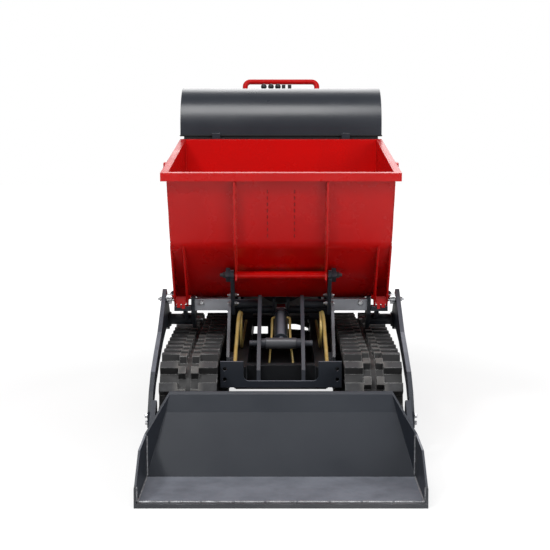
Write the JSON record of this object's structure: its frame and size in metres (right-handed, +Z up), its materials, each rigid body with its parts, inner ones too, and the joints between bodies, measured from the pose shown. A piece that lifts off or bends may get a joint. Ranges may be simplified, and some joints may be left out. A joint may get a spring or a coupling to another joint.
{
  "type": "site dumper",
  "caption": "Walk-behind tracked mini dumper with a front-tipping skip, a self-loading front shovel, a hooded engine bay and an operator's handle at the rear.",
  "frame": {"origin": "centre of the machine's overall box, on the ground", "axes": "+Z up; the machine's front, with the shovel, faces -Y; X runs across, and the shovel arms pivot on the plane Y = 0"},
  "size_m": [0.8246, 2.17, 1.211],
  "materials": {
    "red_paint": "gloss red paint over welded sheet",
    "dark_paint": "satin charcoal paint",
    "grey_paint": "satin light grey paint",
    "engine_alloy": "plain cast block",
    "motor_iron": "dark painted casting",
    "black_plastic": "moulded, fine grain",
    "seal_rubber": "matt foam strip",
    "track_rubber": "worn lugs, greyish on their faces",
    "plated_steel": "zinc plated",
    "chrome_rod": "ground and chromed",
    "worn_steel": "bare edge, scuffed"
  },
  "bodies": {
    "chassis": {"arm_pivot_shafts": "dark_paint", "chassis_frame": "dark_paint", "control_console": "dark_paint", "control_levers": "black_plastic", "door_hinge_halves": "dark_paint", "drive_sprockets": "dark_paint", "engine_bay_frame": "dark_paint", "engine_block": "engine_alloy", "front_idlers": "dark_paint", "front_ladder": "grey_paint", "front_plate": "dark_paint", "front_portal": "grey_paint", "fuel_and_oil_tanks": "black_plastic", "hood_hinge_brackets": "dark_paint", "hood_seal": "seal_rubber", "hydraulic_pipes": "plated_steel", "lift_cylinder_brackets": "dark_paint", "operator_handle": "red_paint", "outer_uprights": "dark_paint", "portal_centre_tube": "dark_paint", "skip_hinge_uprights": "dark_paint", "skip_rests": "dark_paint", "track_frame_left": "dark_paint", "track_frame_right": "dark_paint", "track_left": "track_rubber", "track_right": "track_rubber", "track_rollers": "dark_paint", "travel_motors": "motor_iron"},
    "skip": {"skip_tub": "red_paint", "skip_rim": "red_paint", "skip_ribs": "red_paint", "hinge_end_blocks": "dark_paint", "skip_ears": "red_paint", "rim_stop_lugs": "red_paint", "tipping_cylinder_lugs": "dark_paint"},
    "shovel": {"shovel_arm_left": "dark_paint", "shovel_arm_right": "dark_paint", "shovel_shell": "dark_paint", "shovel_cutting_edge": "worn_steel", "shovel_arm_brackets": "dark_paint"},
    "engine_hood": {"hood": "dark_paint"},
    "left_door": {"service_door_left": "dark_paint"},
    "right_door": {"service_door_right": "dark_paint"},
    "tipping_barrel": {"tipping_cylinder_barrel": "dark_paint"},
    "tipping_rod": {"tipping_cylinder_rod": "chrome_rod"},
    "lift_barrel_left": {"lift_cylinder_barrel_left": "dark_paint"},
    "lift_rod_left": {"lift_cylinder_rod_left": "chrome_rod"},
    "lift_barrel_right": {"lift_cylinder_barrel_right": "dark_paint"},
    "lift_rod_right": {"lift_cylinder_rod_right": "chrome_rod"}
  },
  "joints": [
    {"name": "skip_tip", "type": "hinge", "parent": "chassis", "child": "skip", "pos_m": [0, -0.19, 0.528], "axis": [1, 0, 0], "range_deg": [0, 80]},
    {"name": "shovel_lift", "type": "hinge", "parent": "chassis", "child": "shovel", "pos_m": [0, 0, 0.349], "axis": [1, 0, 0], "range_deg": [-84, 0]},
    {"name": "hood_open", "type": "hinge", "parent": "chassis", "child": "engine_hood", "pos_m": [0, 0.533, 0.96], "axis": [1, 0, 0], "range_deg": [0, 55]},
    {"name": "left_door_open", "type": "hinge", "parent": "chassis", "child": "left_door", "pos_m": [-0.387, 0.897, 0.5], "axis": [0, 0, -1], "range_deg": [0, 100]},
    {"name": "right_door_open", "type": "hinge", "parent": "chassis", "child": "right_door", "pos_m": [0.387, 0.897, 0.5], "axis": [0, 0, 1], "range_deg": [0, 100]},
    {"name": "tipping_barrel_swing", "type": "hinge", "parent": "chassis", "child": "tipping_barrel", "pos_m": [0, -0.282, 0.312], "axis": [1, 0, 0], "range_deg": [-1, 44]},
    {"name": "tipping_rod_slide", "type": "slide", "parent": "tipping_barrel", "child": "tipping_rod", "axis": [0, 0.9756, 0.2197], "range_m": [-0.001, 0.174]},
    {"name": "lift_barrel_swing_left", "type": "hinge", "parent": "chassis", "child": "lift_barrel_left", "pos_m": [-0.381, 0.51, 0.375], "axis": [1, 0, 0], "range_deg": [-8, 1]},
    {"name": "lift_rod_slide_left", "type": "slide", "parent": "lift_barrel_left", "child": "lift_rod_left", "axis": [0, -0.9952, 0.0981], "range_m": [-0.19, 0.001]},
    {"name": "lift_barrel_swing_right", "type": "hinge", "parent": "chassis", "child": "lift_barrel_right", "pos_m": [0.381, 0.51, 0.375], "axis": [1, 0, 0], "range_deg": [-8, 1]},
    {"name": "lift_rod_slide_right", "type": "slide", "parent": "lift_barrel_right", "child": "lift_rod_right", "axis": [0, -0.9952, 0.0981], "range_m": [-0.19, 0.001]}
  ],
  "couplings": [
    {"joint": "tipping_barrel_swing", "follows": "skip_tip", "ratio": 0.5336},
    {"joint": "tipping_rod_slide", "follows": "skip_tip", "m_per_rad": 0.1239},
    {"joint": "lift_barrel_swing_left", "follows": "shovel_lift", "ratio": 0.0894},
    {"joint": "lift_rod_slide_left", "follows": "shovel_lift", "m_per_rad": 0.1265},
    {"joint": "lift_barrel_swing_right", "follows": "shovel_lift", "ratio": 0.0894},
    {"joint": "lift_rod_slide_right", "follows": "shovel_lift", "m_per_rad": 0.1265}
  ]
}
